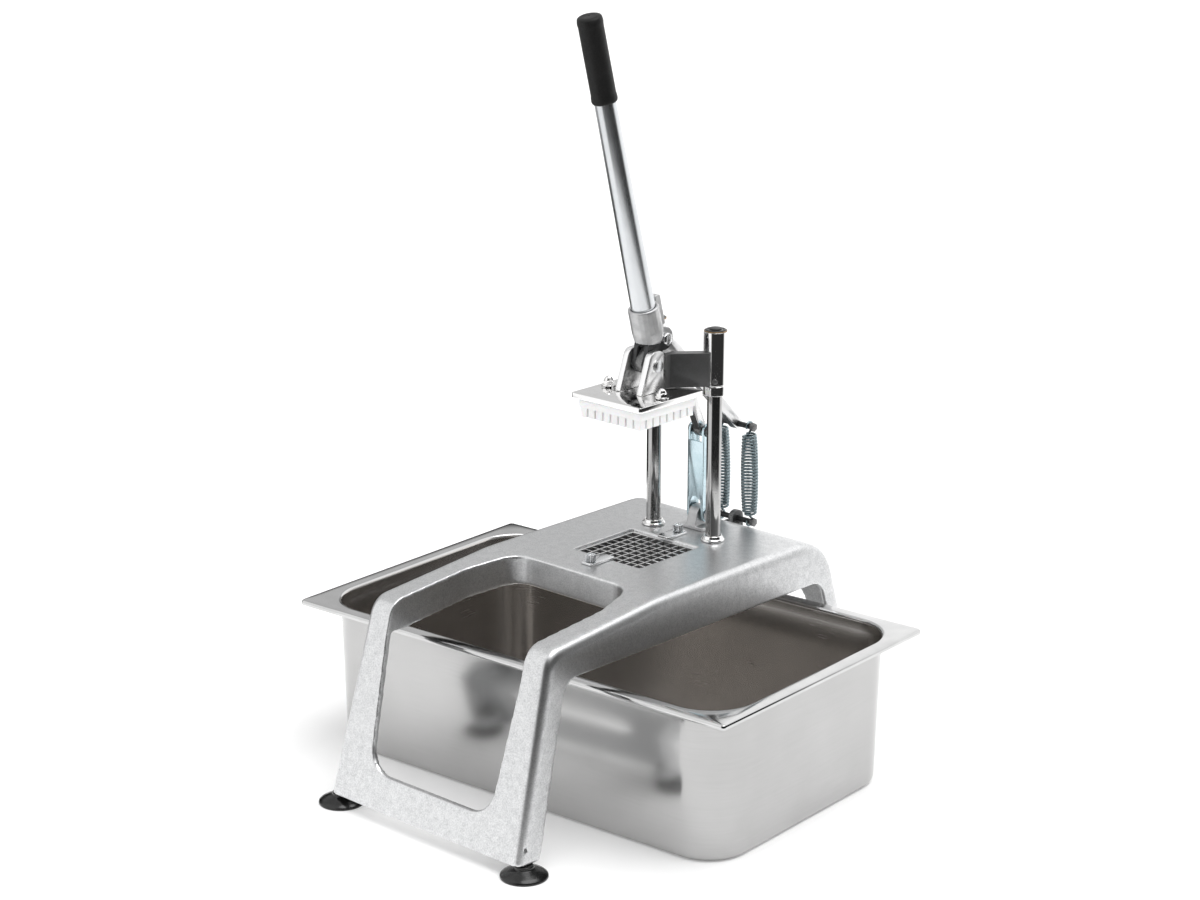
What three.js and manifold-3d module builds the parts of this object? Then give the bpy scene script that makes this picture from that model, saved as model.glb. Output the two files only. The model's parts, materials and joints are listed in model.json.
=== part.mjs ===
// Bench vegetable dicer: a cast bridge frame on rubber feet stands over a removable steel pan.
// A hand lever drives a toothed pusher down two columns and through a square blade grid.
// Millimetres, +Z up. X runs along the pan, Y points from the front feet to the back.
// Inside this file Y = 0 is the line of the front feet and X = 0 the frame's centre plane;
// the group at the end moves everything so that the origin is the bottom centre of its box.

import * as THREE from 'three';
import { mergeVertices } from 'three/addons/utils/BufferGeometryUtils.js';
import Module from 'manifold-3d';

const wasm = await Module();
wasm.setup();

// ---------------------------------------------------------------- driving dimensions

const GAP = 0.3; // between separate pieces that touch

const pan = {
  length: 530, width: 325, depth: 154, wall: 1.2,
  centreX: -9.1, centreY: 256.1, turn: 3.6, // degrees: it stands a little askew under the bridge
  rimDrop: 5, rimWidth: 13, shoulderDrop: 11, shoulderStep: 1.3, taper: 3.4,
  bottomRadius: 8, wallCorner: 48, rimCorner: 3.5,
};

const frame = {
  bottom: 12, top: 217, wall: 6,
  halfWidthTop: 117.5, halfWidthFoot: 128, edgeRadius: 8,
  legLean: 0.2663, // run over rise of the legs' outer faces
  frontFaceY: -8, rearFaceY: 497.6, faceZ: 21, // where the outer leg faces cross this height
  bendY: 40.7, bendZ: 203.5, bendRadius: 22, crownY: 195, crownRadius: 260, rearBendRadius: 50,
  frontLegDepth: 28, rearLegDepth: 21, sideBottom: 172.5, sideFillet: 18,
};

const frontWindow = {
  rearY: 197, halfRear: 74, halfFront: 88.5, halfLow: 79.5, bottomZ: 45.5, sillZ: 172,
  sideY: 140, sideRadius: 60, // where the opening in the deck begins to narrow
  cornerRadius: 26, flange: 5, flangeRearZ: 189, flangeFrontZ: 173,
};

const rearOpening = { halfTop: 80, halfLow: 78, topZ: 160, bottomZ: 45.5, cornerRadius: 26 };

const foot = {
  halfX: 122.8, frontY: 1, rearY: 488.5, radius: 22.5, height: 11.7, neck: 9,
  stud: 3, padHeight: 12, padReach: 17,
};

const column = {
  halfX: 39.5, y: 359.5, radius: 7.5, topZ: 434.5, bottomZ: 183,
  collarRadius: 12, collarHeight: 5.6, nutRadius: 12.5, nutZ: [184, 191.7], bossRadius: 15, bossZ: 192,
};

const grid = {
  y: 289, cells: 8, pitch: 10, blade: 1.5, topZ: 214, depth: 11,
  opening: 80.6, frameOuter: 87.4, pocket: 88, bossOuter: 104, ledgeZ: 201, bossZ: 198,
};

const clamp = {
  frontOffset: -66.5, rearOffset: 63, // from the grid's centre line
  holeRadius: 2.9, screwRadius: 2.5, screwBottomZ: 196, headRadius: 5.6, headHeight: 6.8,
  tabThick: 2.4, tabHalf: 8, tabTail: 7, tabLap: 4,
};

const sleeve = {
  radius: 11.75, bore: 9.3, bottomZ: 368.5, topZ: 432.5, bushRadius: 9, bushBore: 7.6,
  screwZ: 384, screwTurn: 40, screwRadius: 2.6, screwReach: 1.8, // the screw's turn is from straight ahead
};

const pusher = { half: 41, topZ: 372, bottomZ: 353, finger: 7.8, fingerLength: 10 };
const stud = { halfX: 35, y: 286, radius: 3, bore: 3.4 };
const plate = { half: 45.2, frontY: 242.7, rearY: 336.5, bottomZ: 372.3, topZ: 378 };

// linkage in the centre plane, as [y, z]
const leverPivot = [300, 404];
const linkTop = [385.5, 319];
const linkFoot = [385, 231];
const springTop = [440, 314.3];
const springFoot = [442.8, 212.3];
const crankBolt = [319, 427];
const crankCorner = [343, 409];

const lever = { forkHalf: 9.5, crankHalf: 4, pinRadius: 5, boltRadius: 4 };

const handle = {
  baseY: 298, baseZ: 457, lean: 15.1, // point on the tube's axis, and its forward lean in degrees
  footRadius: 12.3, topRadius: 10.4, wall: 2.2, socketDepth: 22,
  socketRadius: 15.6, socketBelow: 35, socketAbove: 4, ribHalf: 3.5, ribReach: 7, ribAbove: 5,
  gripStart: 218, gripEnd: 303, gripRadius: 12.6,
};

const link = { half: 10.2, wall: 2.6, frontY: 377.6, radius: 7.5, webBottom: 242, webTop: 308.5 };

const springs = { halfX: 21.6, radius: 9.3, wire: 2.2, pinRadius: 2.9, pinHalf: 24.4 };

// ---------------------------------------------------------------- materials

function finish(color, roughness, metalness) {
  return new THREE.MeshStandardMaterial({ color, roughness, metalness });
}
const castAluminium = () => finish(0xc3c6c8, 0.42, 0.9);
const castGrey = () => finish(0xa2a5a6, 0.55, 0.7);
const chrome = () => finish(0xd9dcde, 0.12, 1);
const zinc = () => finish(0xb9bfc4, 0.35, 0.95);
const blackSteel = () => finish(0x1c1d20, 0.45, 0.6);
const stainless = () => finish(0xb8b7b3, 0.22, 1);
const blackRubber = () => finish(0x101012, 0.4, 0);
const blackPlastic = () => finish(0x17181a, 0.5, 0);
const whitePlastic = () => finish(0xf3f5f4, 0.4, 0);

// ---------------------------------------------------------------- solid helpers

function solidOf(geometry) {
  const bare = geometry.clone();
  bare.deleteAttribute('normal');
  bare.deleteAttribute('uv');
  const merged = mergeVertices(bare, 1e-4);
  return new wasm.Manifold(new wasm.Mesh({
    numProp: 3,
    vertProperties: new Float32Array(merged.attributes.position.array),
    triVerts: new Uint32Array(merged.index.array),
  }));
}

function geometryOf(solid) {
  const { vertProperties, triVerts, numProp } = solid.getMesh();
  const positions = new Float32Array((vertProperties.length / numProp) * 3);
  for (let i = 0; i < positions.length / 3; i += 1) {
    positions.set(vertProperties.subarray(i * numProp, i * numProp + 3), i * 3);
  }
  const geometry = new THREE.BufferGeometry();
  geometry.setAttribute('position', new THREE.BufferAttribute(positions, 3));
  geometry.setIndex(new THREE.BufferAttribute(new Uint32Array(triVerts), 1));
  return geometry;
}

const join = (first, ...rest) => rest.reduce((sum, solid) => sum.add(solid), first);
const cut = (first, ...rest) => rest.reduce((left, solid) => left.subtract(solid), first);

function box(x, y, z) {
  const geometry = new THREE.BoxGeometry(x[1] - x[0], y[1] - y[0], z[1] - z[0]);
  geometry.translate((x[0] + x[1]) / 2, (y[0] + y[1]) / 2, (z[0] + z[1]) / 2);
  return solidOf(geometry);
}

// Corner points [u, v] or [u, v, radius] become an outline; a radius turns its corner into an arc.
function outline(corners, arcSteps = 5) {
  const points = [];
  corners.forEach(([u, v, radius = 0], i) => {
    const here = new THREE.Vector2(u, v);
    if (!radius) {
      points.push(here);
      return;
    }
    const before = new THREE.Vector2(...corners.at(i - 1).slice(0, 2)).sub(here).normalize();
    const after = new THREE.Vector2(...corners[(i + 1) % corners.length].slice(0, 2)).sub(here).normalize();
    const half = before.angleTo(after) / 2;
    const centre = before.clone().add(after).normalize().multiplyScalar(radius / Math.sin(half)).add(here);
    const start = here.clone().addScaledVector(before, radius / Math.tan(half)).sub(centre);
    const turn = (Math.PI - 2 * half) * Math.sign(start.cross(before.clone().negate()));
    for (let k = 0; k <= arcSteps; k += 1) {
      points.push(start.clone().rotateAround(new THREE.Vector2(), (turn * k) / arcSteps).add(centre));
    }
  });
  return points;
}

// An outline is drawn in the plane across one axis and extruded along that axis.
const planes = {
  x: [new THREE.Vector3(0, 1, 0), new THREE.Vector3(0, 0, 1), new THREE.Vector3(1, 0, 0)],
  y: [new THREE.Vector3(1, 0, 0), new THREE.Vector3(0, 0, 1), new THREE.Vector3(0, -1, 0)],
  z: [new THREE.Vector3(1, 0, 0), new THREE.Vector3(0, 1, 0), new THREE.Vector3(0, 0, 1)],
};

function extrude(axis, points, from, to) {
  const geometry = new THREE.ExtrudeGeometry(new THREE.Shape(points), {
    depth: to - from, bevelEnabled: false, steps: 1,
  });
  geometry.translate(0, 0, axis === 'y' ? -to : from);
  geometry.applyMatrix4(new THREE.Matrix4().makeBasis(...planes[axis]));
  return solidOf(geometry);
}

function circle(u, v, radius, sides = 16) {
  return Array.from({ length: sides }, (_, i) => {
    const angle = ((i + 0.5) / sides) * 2 * Math.PI;
    return new THREE.Vector2(u + radius * Math.cos(angle), v + radius * Math.sin(angle));
  });
}

const rod = (axis, u, v, radius, from, to, sides = 16) => (
  extrude(axis, circle(u, v, radius, sides), from, to));

// Profile points are [radius, z] around a vertical axis through x, y.
function turned(profile, x, y, sides = 20) {
  const geometry = new THREE.LatheGeometry(profile.map(([r, z]) => new THREE.Vector2(r, z)), sides);
  geometry.rotateX(Math.PI / 2);
  geometry.translate(x, y, 0);
  return solidOf(geometry);
}

// A closed ring section turned around a vertical axis: radii and heights of a plain sleeve.
function tube(x, y, inner, outer, from, to, sides = 20) {
  return turned([[inner, from], [outer, from], [outer, to], [inner, to], [inner, from]], x, y, sides);
}

// Rings of equal point count, each a list of Vector3, skinned into one closed solid.
function loft(rings) {
  const count = rings[0].length;
  const middles = [rings[0], rings.at(-1)].map((ring) => (
    ring.reduce((sum, p) => sum.add(p), new THREE.Vector3()).divideScalar(count)));
  const positions = [...rings.flat(), ...middles].flatMap((p) => p.toArray());
  const [first, last] = [rings.length * count, rings.length * count + 1];
  const index = [];
  for (let k = 0; k < count; k += 1) {
    const next = (k + 1) % count;
    index.push(first, next, k);
    index.push(last, (rings.length - 1) * count + k, (rings.length - 1) * count + next);
    for (let r = 0; r < rings.length - 1; r += 1) {
      const [a, b] = [r * count, (r + 1) * count];
      index.push(a + k, a + next, b + next, a + k, b + next, b + k);
    }
  }
  const geometry = new THREE.BufferGeometry();
  geometry.setAttribute('position', new THREE.Float32BufferAttribute(positions, 3));
  geometry.setIndex(index);
  const solid = solidOf(geometry);
  if (solid.volume() > 0) return solid;
  geometry.setIndex(index.reduce((all, v, i) => {
    all[i - (i % 3) + (2 - (i % 3))] = v;
    return all;
  }, []));
  return solidOf(geometry);
}

function moved(solid, matrix) {
  return solidOf(geometryOf(solid).applyMatrix4(matrix));
}

// ---------------------------------------------------------------- the group

const machine = new THREE.Group();

function add(name, solid, material, group = machine) {
  const mesh = new THREE.Mesh(geometryOf(solid), material);
  mesh.name = name;
  group.add(mesh);
}

const sides = [['left', -1], ['right', 1]];

// ---------------------------------------------------------------- cast frame

const frontFaceY = (z) => frame.frontFaceY + frame.legLean * (z - frame.faceZ);
const rearFaceY = (z) => frame.rearFaceY - frame.legLean * (z - frame.faceZ);
const halfWidth = (z) => {
  const drop = (frame.top - z) / (frame.top - frame.bottom);
  return frame.halfWidthTop + drop * (frame.halfWidthFoot - frame.halfWidthTop);
};

// Side view of the bridge, drawn inset from its outer skin.
function bridgeSide(inset, bottom) {
  const lean = inset * Math.hypot(1, frame.legLean);
  const low = inset ? bottom : frame.bottom;
  const top = frame.top - inset;
  return [
    [frontFaceY(low) + lean, low],
    [frame.bendY + inset * 0.9, frame.bendZ - inset, frame.bendRadius - inset],
    [frame.crownY, top, frame.crownRadius],
    [rearFaceY(top) - lean, top, frame.rearBendRadius - inset],
    [rearFaceY(low) - lean, low],
  ];
}

function bridgeFront(inset, bottom) {
  const low = inset ? bottom : frame.bottom;
  const top = frame.top - inset;
  return [
    [-halfWidth(low) + inset, low], [-halfWidth(top) + inset, top],
    [halfWidth(top) - inset, top], [halfWidth(low) - inset, low],
  ];
}

function bridgeBlock(inset, bottom = frame.bottom) {
  const far = 140;
  return extrude('x', outline(bridgeSide(inset, bottom), 8), -far, far)
    .intersect(extrude('y', outline(bridgeFront(inset, bottom)), -far, 5 * far));
}

// A bead that follows the bridge's outer edge and rounds it off along the whole length.
function edgeCutter(side) {
  const path = outline(bridgeSide(0, 0), 8);
  const radius = frame.edgeRadius;
  const rings = path.map((point, i) => {
    const before = path[Math.max(i - 1, 0)];
    const after = path[Math.min(i + 1, path.length - 1)];
    const along = after.clone().sub(before).normalize();
    const outward = new THREE.Vector2(-along.y, along.x);
    const end = i === 0 ? -2 : Number(i === path.length - 1) * 2;
    const arc = Array.from({ length: 5 }, (_, k) => {
      const angle = (k / 4) * (Math.PI / 2);
      return [radius * (Math.cos(angle) - 1), radius * (Math.sin(angle) - 1)];
    });
    return [[1.5, -radius], ...arc, [-radius, 1.5], [1.5, 1.5]].map(([across, out]) => {
      const yz = point.clone().addScaledVector(outward, out).addScaledVector(along, end);
      return new THREE.Vector3(side * (halfWidth(point.y) + across), yz.x, yz.y);
    });
  });
  return loft(rings);
}

function windowTop(grow) {
  const w = frontWindow;
  const radius = w.cornerRadius + grow;
  return outline([
    [-w.halfFront - grow, 0], [w.halfFront + grow, 0], [w.halfFront + grow, w.sideY, w.sideRadius],
    [w.halfRear + grow, w.rearY + grow, radius], [-w.halfRear - grow, w.rearY + grow, radius],
    [-w.halfFront - grow, w.sideY, w.sideRadius],
  ], 6);
}

function sideCut() {
  const low = -5;
  const front = (z) => frontFaceY(z) + frame.frontLegDepth;
  const rear = (z) => rearFaceY(z) - frame.rearLegDepth;
  return extrude('x', outline([
    [front(low), low], [front(frame.sideBottom), frame.sideBottom, frame.sideFillet],
    [rear(frame.sideBottom), frame.sideBottom, frame.sideFillet], [rear(low), low],
  ], 5), -140, 140);
}

function windowFlange() {
  const w = frontWindow;
  const ring = extrude('z', windowTop(w.flange), 150, 230);
  const slope = extrude('x', [
    [0, w.flangeFrontZ], [60, w.flangeFrontZ], [w.rearY + 20, w.flangeRearZ],
    [w.rearY + 20, 230], [0, 230],
  ].map((p) => new THREE.Vector2(...p)), -120, 120);
  return ring.intersect(slope).intersect(bridgeBlock(0));
}

function frontPanelWindow() {
  const w = frontWindow;
  return extrude('y', outline([
    [-w.halfFront, 230], [-w.halfFront, w.sillZ], [-w.halfLow, w.bottomZ, w.cornerRadius],
    [w.halfLow, w.bottomZ, w.cornerRadius], [w.halfFront, w.sillZ], [w.halfFront, 230],
  ], 6), -40, 62);
}

function rearPanelOpening() {
  const r = rearOpening;
  return extrude('y', outline([
    [-r.halfTop, r.topZ, r.cornerRadius], [r.halfTop, r.topZ, r.cornerRadius],
    [r.halfLow, r.bottomZ, r.cornerRadius], [-r.halfLow, r.bottomZ, r.cornerRadius],
  ], 6), 440, 540);
}

function footPad(side, y) {
  const { halfX, padReach, padHeight } = foot;
  const across = [side * (halfX - padReach), side * (halfX + padReach)].sort((a, b) => a - b);
  return box(across, [y - padReach, y + padReach], [frame.bottom, frame.bottom + padHeight]);
}

const footPlaces = [
  ['front_left', -1, foot.frontY], ['front_right', 1, foot.frontY],
  ['rear_left', -1, foot.rearY], ['rear_right', 1, foot.rearY],
];

function baseFrame() {
  const skin = bridgeBlock(0);
  const hollow = bridgeBlock(frame.wall, -8);
  const pads = footPlaces.map(([, side, y]) => footPad(side, y));
  const { bossRadius, bossZ } = column;
  const bosses = sides.map(([, s]) => rod('z', s * column.halfX, column.y, bossRadius, bossZ, frame.top - 1));
  const gridBoss = squareBlock(grid.bossOuter, grid.bossZ, frame.top - 1);
  let solid = cut(skin, hollow);
  solid = join(solid, windowFlange());
  solid = cut(solid, sideCut());
  solid = join(solid, ...pads.map((pad) => pad.intersect(bridgeBlock(0))), ...bosses, gridBoss);
  const columnHoles = sides.map(([, s]) => (
    rod('z', s * column.halfX, column.y, column.radius + GAP, 150, 240)));
  const footHoles = footPlaces.map(([, side, y]) => (
    rod('z', side * foot.halfX, y, foot.stud + GAP, 0, 30)));
  solid = cut(
    solid,
    extrude('z', windowTop(0), frontWindow.sillZ, 230), frontPanelWindow(), rearPanelOpening(),
    edgeCutter(-1), edgeCutter(1), ...columnHoles, ...footHoles,
    squareBlock(grid.pocket, grid.ledgeZ, 240), squareBlock(grid.opening, 150, 240), clampHoles(),
  );
  return solid;
}

const clampPlaces = [['front', grid.y + clamp.frontOffset], ['rear', grid.y + clamp.rearOffset]];

function clampHoles() {
  return join(...clampPlaces.map(([, y]) => rod('z', 0, y, clamp.holeRadius, 190, 240)));
}

add('base_frame', baseFrame(), castAluminium());

// ---------------------------------------------------------------- feet

for (const [name, side, y] of footPlaces) {
  const top = foot.height;
  const rubber = turned([
    [0, 1.5], [18, 0], [foot.radius, 0], [foot.radius, 2.2], [19.5, 4.6], [14, 7.2], [foot.neck, 9],
    [foot.neck, top], [foot.stud + GAP, top], [foot.stud + GAP, 4], [0, 4],
  ], side * foot.halfX, y);
  add(`foot_${name}`, rubber, blackRubber());
  const studTop = frame.bottom + foot.padHeight - 1;
  add(`foot_stud_${name}`, rod('z', side * foot.halfX, y, foot.stud, 4 + GAP, studTop, 16), zinc());
}

// ---------------------------------------------------------------- columns

for (const [name, side] of sides) {
  const x = side * column.halfX;
  const { y, radius, topZ, bottomZ } = column;
  add(`column_${name}`, turned([
    [0, bottomZ], [radius - 1, bottomZ], [radius, bottomZ + 1], [radius, topZ - 1],
    [radius - 1, topZ], [0, topZ],
  ], x, y), chrome());
  add(`column_cap_${name}`, rod('z', x, y, radius - 0.6, topZ + GAP, topZ + 1.6, 20), blackPlastic());
  const low = frame.top + GAP;
  const { collarRadius, collarHeight, nutRadius, nutZ } = column;
  const bore = radius + GAP;
  const high = low + collarHeight;
  add(`column_collar_${name}`, turned([
    [bore, low], [collarRadius, low], [collarRadius, low + 1.6], [collarRadius - 1.6, low + 3.2],
    [collarRadius - 2.4, high], [bore, high], [bore, low],
  ], x, y), chrome());
  const nut = rod('z', x, y, nutRadius, ...nutZ, 6);
  add(`column_nut_${name}`, cut(nut, rod('z', x, y, bore, 180, 200, 20)), zinc());
}

// ---------------------------------------------------------------- blade grid

function squareBlock(width, from, to) {
  const half = width / 2;
  return box([-half, half], [grid.y - half, grid.y + half], [from, to]);
}

function squareRing(outer, inner, from, to) {
  return cut(squareBlock(outer, from, to), squareBlock(inner, from - 5, to + 5));
}

const bladeFrame = squareRing(grid.frameOuter, grid.opening, grid.ledgeZ + GAP, grid.topZ + 0.6);
add('blade_frame', bladeFrame, stainless());

function bladeGrid() {
  const reach = grid.opening / 2 - GAP;
  const strips = [];
  for (let i = 1; i < grid.cells; i += 1) {
    const at = (i - grid.cells / 2) * grid.pitch;
    const thin = [at - grid.blade / 2, at + grid.blade / 2];
    const low = grid.topZ - grid.depth;
    strips.push(box(thin, [grid.y - reach, grid.y + reach], [low, grid.topZ]));
    strips.push(box([-reach, reach], thin.map((v) => v + grid.y), [low + 1, grid.topZ - 0.4]));
  }
  return join(...strips);
}
add('blade_grid', bladeGrid(), stainless());

// A small clamp holds the blade frame down at its front and rear, under a knurled screw.
for (const [name, y] of clampPlaces) {
  const inward = name === 'front' ? 1 : -1;
  const { tabThick, tabHalf, tabTail, tabLap, holeRadius, screwRadius, headRadius } = clamp;
  const tail = y - inward * tabTail;
  const nose = y + inward * (Math.abs(y - grid.y) - grid.frameOuter / 2 + tabLap);
  const tab = outline([[-tabHalf, tail, 3], [tabHalf, tail, 3], [tabHalf, nose, 2], [-tabHalf, nose, 2]], 3);
  const low = frame.top + GAP;
  const headLow = low + tabThick + GAP;
  const hole = rod('z', 0, y, holeRadius, low - 1, headLow + 1);
  add(`clamp_tab_${name}`, cut(extrude('z', tab, low, low + tabThick), hole), zinc());
  add(`clamp_screw_${name}`, join(
    rod('z', 0, y, screwRadius, clamp.screwBottomZ, headLow + 1),
    rod('z', 0, y, headRadius, headLow, headLow + clamp.headHeight, 12),
  ), zinc());
}

// ---------------------------------------------------------------- carriage

for (const [name, side] of sides) {
  const x = side * column.halfX;
  const { y } = column;
  add(`sleeve_${name}`, tube(x, y, sleeve.bore, sleeve.radius, sleeve.bottomZ, sleeve.topZ), chrome());
  const bush = (from, to) => tube(x, y, sleeve.bushBore, sleeve.bushRadius, from, to);
  const top = sleeve.topZ;
  add(`bush_upper_${name}`, join(
    bush(top - 14, top + 2), tube(x, y, sleeve.bushBore, sleeve.radius - 0.4, top + GAP, top + 2),
  ), blackPlastic());
  add(`bush_lower_${name}`, bush(sleeve.bottomZ + 0.5, sleeve.bottomZ + 14), blackPlastic());
  const { screwZ, screwTurn, screwRadius, screwReach } = sleeve;
  const turn = THREE.MathUtils.degToRad(side * screwTurn);
  const place = new THREE.Matrix4().makeRotationZ(turn).setPosition(x, y, screwZ);
  const seat = -sleeve.radius - GAP;
  const screw = rod('y', 0, 0, screwRadius, seat - screwReach, seat, 12);
  add(`sleeve_screw_${name}`, moved(screw, place), zinc());
}

// One arm in plan, as [x, y]: from behind the cheek out to the front of the sleeve, and back.
const arm = {
  bottomZ: 379, topZ: 413,
  plan: [
    [10.6, 311], [16.8, 311], [17.6, 318], [43, 345.6], [43, 350], [36, 350], [30, 347], [10.6, 326],
  ],
};

function carriageArm(side) {
  const plan = arm.plan.map(([x, y]) => new THREE.Vector2(side * x, y));
  if (side < 0) plan.reverse();
  const web = extrude('z', plan, arm.bottomZ, arm.topZ);
  return cut(web, rod('z', side * column.halfX, column.y, sleeve.radius + GAP, 370, 420, 20));
}

const cheekX = [10.5, 17.5];
const cheek = outline([
  [276, plate.topZ + GAP], [309.7, plate.topZ + GAP], [309.7, 419, 9], [290, 419, 9], [280.5, 392],
], 5);

for (const [name, side] of sides) {
  const [inner, outer] = cheekX;
  const bore = rod('x', ...leverPivot, lever.pinRadius + GAP, -30, 30);
  const span = side > 0 ? [inner, outer] : [-outer, -inner];
  add(`cheek_${name}`, cut(extrude('x', cheek, ...span), bore), chrome());
  add(`carriage_arm_${name}`, carriageArm(side), blackSteel());
}

function roundedBlock(half, [front, rear], radius, from, to) {
  const corners = [[-half, front], [half, front], [half, rear], [-half, rear]];
  return extrude('z', outline(corners.map((corner) => [...corner, radius]), 3), from, to);
}

function pusherPlate() {
  const { half, frontY, rearY, bottomZ, topZ } = plate;
  return cut(
    roundedBlock(half, [frontY, rearY], 2.5, bottomZ, topZ),
    ...sides.map(([, s]) => rod('z', s * stud.halfX, stud.y, stud.bore, bottomZ - 1, topZ + 1)),
  );
}
add('pusher_plate', pusherPlate(), chrome());

function pusherBlock() {
  const { half, topZ, bottomZ, finger, fingerLength } = pusher;
  const root = bottomZ + fingerLength;
  const fingers = [];
  for (let i = 0; i < grid.cells; i += 1) {
    for (let j = 0; j < grid.cells; j += 1) {
      const x = (i - (grid.cells - 1) / 2) * grid.pitch;
      const y = grid.y + (j - (grid.cells - 1) / 2) * grid.pitch;
      const reach = finger / 2;
      fingers.push(box([x - reach, x + reach], [y - reach, y + reach], [bottomZ, root + 0.5]));
    }
  }
  const block = join(roundedBlock(half, [grid.y - half, grid.y + half], 3, root, topZ), ...fingers);
  return cut(block, ...sides.map(([, s]) => rod('z', s * stud.halfX, stud.y, stud.bore, root + 2, topZ + 1)));
}
add('pusher', pusherBlock(), whitePlastic());

for (const [name, side] of sides) {
  const [x, y, low] = [side * stud.halfX, stud.y, plate.topZ + GAP];
  const dome = [[0, low + 5], [4.6, low + 5], [3.6, low + 7.8], [1.6, low + 9.3], [0, low + 9.6]];
  add(`pusher_stud_${name}`, join(
    rod('z', x, y, stud.radius, pusher.bottomZ + pusher.fingerLength + 2.5, low + 3),
    rod('z', x, y, 7.2, low, low + 1.2, 20), rod('z', x, y, 5.8, low + 1, low + 5.5, 6),
    turned(dome, x, y, 16),
  ), chrome());
}

const pivotHead = { radius: 6, thick: 1 };

// A pin along X with a flat head outside each face at +-half.
function headedPin([y, z], radius, half, headRadius, headThick, headSides = 16) {
  const out = half + GAP;
  return join(
    rod('x', y, z, radius, -out - headThick + 0.2, out + headThick - 0.2),
    rod('x', y, z, headRadius, out, out + headThick, headSides),
    rod('x', y, z, headRadius, -out - headThick, -out, headSides),
  );
}

add('pivot_pin', headedPin(
  leverPivot, lever.pinRadius, cheekX[1], pivotHead.radius, pivotHead.thick,
), zinc());

// ---------------------------------------------------------------- hand lever

// A bar with round ends between two points of the centre plane, as its outline.
function bar(from, to, startRadius, endRadius, steps = 6) {
  const [a, b] = [new THREE.Vector2(...from), new THREE.Vector2(...to)];
  const heading = Math.atan2(b.y - a.y, b.x - a.x);
  const round = (centre, radius, first) => Array.from({ length: steps + 1 }, (_, k) => {
    const angle = heading + first + (k / steps) * Math.PI;
    return new THREE.Vector2(centre.x + radius * Math.cos(angle), centre.y + radius * Math.sin(angle));
  });
  return [...round(a, startRadius, Math.PI / 2), ...round(b, endRadius, -Math.PI / 2)];
}

// The crank starts in the socket's fork and splits into an arm for the link and one for the springs.
function crankPlate() {
  const half = lever.crankHalf;
  const elbow = [352, 392];
  const gusset = [leverPivot, elbow, [366, 377], [366, 386], crankCorner, crankBolt]
    .map((p) => new THREE.Vector2(...p));
  const arms = [
    bar(leverPivot, crankBolt, 10, 9), gusset, bar(crankBolt, crankCorner, 8, 7),
    bar(crankCorner, springTop, 7, 5.5), bar(elbow, linkTop, 5.5, 5), circle(...linkTop, 6.5),
  ].map((points) => extrude('x', points, -half, half));
  const reach = half + 5;
  return cut(
    join(...arms),
    rod('x', ...leverPivot, lever.pinRadius + GAP, -reach, reach),
    rod('x', ...crankBolt, lever.boltRadius + GAP, -reach, reach),
    rod('x', ...springTop, springs.pinRadius + GAP, -reach, reach),
  );
}
add('crank_plate', crankPlate(), blackSteel());

// The lever's own frame: Z runs up the tube's axis, which leans forward about X.
const leverPlace = new THREE.Matrix4()
  .makeRotationX(THREE.MathUtils.degToRad(handle.lean))
  .setPosition(0, handle.baseY, handle.baseZ);
const onHandle = (solid) => moved(solid, leverPlace);

function handleSocket() {
  const { socketRadius, socketBelow, socketAbove, footRadius, socketDepth } = handle;
  const { ribHalf, ribReach, ribAbove } = handle;
  const { forkHalf, crankHalf, pinRadius, boltRadius } = lever;
  const mouth = footRadius + GAP;
  const cup = onHandle(turned([
    [0, -socketBelow], [socketRadius - 4, -socketBelow], [socketRadius - 1, -socketBelow + 5],
    [socketRadius, -socketBelow + 14], [socketRadius, socketAbove - 1], [socketRadius - 1, socketAbove],
    [mouth, socketAbove], [mouth, -socketDepth], [0, -socketDepth],
  ], 0, 0));
  const fork = join(
    extrude('x', bar([307, 424], leverPivot, 12, 9.5), -forkHalf, forkHalf),
    extrude('x', bar([308, 434], crankBolt, 8, 12), -forkHalf, forkHalf),
  );
  const slotHalf = crankHalf + GAP;
  const slot = join(
    extrude('x', bar([318, 412], leverPivot, 30, 17), -slotHalf, slotHalf),
    extrude('x', bar([331, 420], crankBolt, 17, 15), -slotHalf, slotHalf),
  );
  const bores = join(
    rod('x', ...leverPivot, pinRadius + GAP, -20, 20),
    rod('x', ...crankBolt, boltRadius + GAP, -20, 20),
  );
  const nutRooms = [[forkHalf, 20], [-20, -forkHalf]].map((span) => rod('x', ...crankBolt, 7.6, ...span));
  const above = onHandle(box([-30, 30], [-40, 60], [-socketDepth - 1.5, 60]));
  const seat = onHandle(rod('z', 0, 0, mouth, -socketDepth, 60, 20));
  const rib = onHandle(extrude('x', outline([
    [footRadius, -socketBelow], [socketRadius + ribReach, -socketBelow + 6, 6],
    [socketRadius + ribReach, socketAbove + ribAbove, 3], [socketRadius - 1, socketAbove + ribAbove, 2],
    [socketRadius - 1, -10], [footRadius, -10],
  ], 3), -ribHalf, ribHalf));
  return cut(join(cup, fork, rib), cut(slot, above), bores, seat, ...nutRooms);
}
add('handle_socket', handleSocket(), castGrey());

add('crank_bolt', headedPin(crankBolt, lever.boltRadius, lever.forkHalf, 6.6, 4, 6), zinc());

const leverGroup = new THREE.Group();
leverGroup.applyMatrix4(leverPlace);
machine.add(leverGroup);

function handleTube() {
  const { footRadius, topRadius, wall, socketDepth, gripStart, gripEnd } = handle;
  const foot0 = -socketDepth + 1;
  const end = gripEnd - 6;
  return turned([
    [footRadius - wall, foot0], [footRadius, foot0], [topRadius, gripStart], [topRadius, end],
    [topRadius - wall, end], [topRadius - wall, gripStart], [footRadius - wall, foot0],
  ], 0, 0);
}
add('handle_tube', handleTube(), zinc(), leverGroup);

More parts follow.
